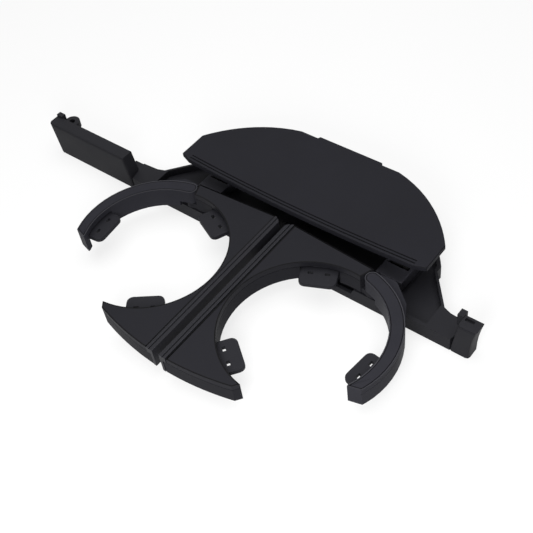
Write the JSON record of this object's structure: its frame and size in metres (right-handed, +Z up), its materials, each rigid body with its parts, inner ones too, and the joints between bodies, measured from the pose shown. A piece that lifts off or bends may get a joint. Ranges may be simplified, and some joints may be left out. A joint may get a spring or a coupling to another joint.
{
  "type": "console cup holder",
  "caption": "Fold-out double cup holder for a vehicle console: two ring arms swing from a low housing, with jointed fingers and sprung flaps that grip the cups.",
  "frame": {"origin": "underside of the tray, midway between the two swing pins", "axes": "+X across to the short front block, +Y to the rear of the housing, +Z up; the arms are swung out to -Y"},
  "size_m": [0.2675, 0.1496, 0.023],
  "materials": {
    "housing_plastic": "fine matte grain, black",
    "cover_plastic": "fine matte grain, black",
    "arm_plastic": "smooth matte, black",
    "arm_top_plastic": "smooth matte, black",
    "trim_plastic": "satin, black",
    "flap_plastic": "smooth matte, black",
    "pin_steel": "drawn",
    "spring_steel": "oiled wire",
    "gear_acetal": "smooth, black, as moulded"
  },
  "bodies": {
    "housing": {"housing_tray": "housing_plastic", "top_cover": "cover_plastic", "cover_screw_1": "pin_steel", "cover_screw_2": "pin_steel", "left_swing_pin": "pin_steel", "left_swing_spring": "spring_steel", "left_damper_case": "housing_plastic", "left_latch_case": "housing_plastic", "right_swing_pin": "pin_steel", "right_swing_spring": "spring_steel", "right_damper_case": "housing_plastic", "right_latch_case": "housing_plastic"},
    "left_arm": {"left_arm_body": "arm_plastic", "left_arm_top": "arm_top_plastic", "left_arm_trim": "trim_plastic", "left_finger_pin": "pin_steel"},
    "left_finger": {"left_finger": "arm_plastic"},
    "left_pinion": {"left_damper_pinion": "gear_acetal"},
    "left_pawl": {"left_latch_pawl": "gear_acetal"},
    "left_tail_flap": {"left_tail_flap": "flap_plastic"},
    "left_rear_flap": {"left_rear_flap": "flap_plastic"},
    "left_finger_flap": {"left_finger_flap": "flap_plastic"},
    "right_arm": {"right_arm_body": "arm_plastic", "right_arm_top": "arm_top_plastic", "right_arm_trim": "trim_plastic", "right_finger_pin": "pin_steel"},
    "right_finger": {"right_finger": "arm_plastic"},
    "right_pinion": {"right_damper_pinion": "gear_acetal"},
    "right_pawl": {"right_latch_pawl": "gear_acetal"},
    "right_tail_flap": {"right_tail_flap": "flap_plastic"},
    "right_rear_flap": {"right_rear_flap": "flap_plastic"},
    "right_finger_flap": {"right_finger_flap": "flap_plastic"}
  },
  "joints": [
    {"name": "left_swing", "type": "hinge", "parent": "housing", "child": "left_arm", "pos_m": [-0.0085, 0, 0.012], "axis": [0, 0, 1], "range_deg": [-90, 0], "stiffness_Nm_per_rad": 0.004},
    {"name": "left_fold", "type": "hinge", "parent": "left_arm", "child": "left_finger", "pos_m": [-0.05499, 0.00035, 0.0145], "axis": [0, 0, 1], "range_deg": [0, 48]},
    {"name": "left_pinion_turn", "type": "hinge", "parent": "housing", "child": "left_pinion", "pos_m": [-0.0085, 0.01095, 0.0063], "axis": [0, 0, 1], "range_deg": [0, 112.5]},
    {"name": "left_tail_flap_tilt", "type": "hinge", "parent": "left_arm", "child": "left_tail_flap", "pos_m": [-0.02163, -0.07199, 0.015], "axis": [-0.8039, -0.5948, 0], "range_deg": [0, 60], "stiffness_Nm_per_rad": 0.004},
    {"name": "left_rear_flap_tilt", "type": "hinge", "parent": "left_arm", "child": "left_rear_flap", "pos_m": [-0.02911, -0.00364, 0.015], "axis": [0.9135, -0.4067, 0], "range_deg": [0, 60], "stiffness_Nm_per_rad": 0.004},
    {"name": "left_finger_flap_tilt", "type": "hinge", "parent": "left_finger", "child": "left_finger_flap", "pos_m": [-0.0833, -0.04133, 0.015], "axis": [-0.108, 0.9942, 0], "range_deg": [0, 60], "stiffness_Nm_per_rad": 0.004},
    {"name": "left_pawl_turn", "type": "hinge", "parent": "housing", "child": "left_pawl", "pos_m": [-0.0584, 0.0236, 0.006], "axis": [0, 0, 1], "range_deg": [0, 12], "stiffness_Nm_per_rad": 0.002},
    {"name": "right_swing", "type": "hinge", "parent": "housing", "child": "right_arm", "pos_m": [0.0085, 0, 0.012], "axis": [0, 0, -1], "range_deg": [-90, 0], "stiffness_Nm_per_rad": 0.004},
    {"name": "right_fold", "type": "hinge", "parent": "right_arm", "child": "right_finger", "pos_m": [0.05499, 0.00035, 0.0145], "axis": [0, 0, -1], "range_deg": [0, 48]},
    {"name": "right_pinion_turn", "type": "hinge", "parent": "housing", "child": "right_pinion", "pos_m": [0.0085, 0.01095, 0.0063], "axis": [0, 0, -1], "range_deg": [0, 112.5]},
    {"name": "right_tail_flap_tilt", "type": "hinge", "parent": "right_arm", "child": "right_tail_flap", "pos_m": [0.02163, -0.07199, 0.015], "axis": [-0.8039, 0.5948, 0], "range_deg": [0, 60], "stiffness_Nm_per_rad": 0.004},
    {"name": "right_rear_flap_tilt", "type": "hinge", "parent": "right_arm", "child": "right_rear_flap", "pos_m": [0.02911, -0.00364, 0.015], "axis": [0.9135, 0.4067, 0], "range_deg": [0, 60], "stiffness_Nm_per_rad": 0.004},
    {"name": "right_finger_flap_tilt", "type": "hinge", "parent": "right_finger", "child": "right_finger_flap", "pos_m": [0.0833, -0.04133, 0.015], "axis": [-0.108, -0.9942, 0], "range_deg": [0, 60], "stiffness_Nm_per_rad": 0.004},
    {"name": "right_pawl_turn", "type": "hinge", "parent": "housing", "child": "right_pawl", "pos_m": [0.0584, 0.0236, 0.006], "axis": [0, 0, -1], "range_deg": [0, 12], "stiffness_Nm_per_rad": 0.002}
  ],
  "couplings": [
    {"joint": "left_fold", "follows": "left_swing", "ratio": -0.53333},
    {"joint": "left_pinion_turn", "follows": "left_swing", "ratio": -1.25},
    {"joint": "right_fold", "follows": "right_swing", "ratio": -0.53333},
    {"joint": "right_pinion_turn", "follows": "right_swing", "ratio": -1.25}
  ]
}
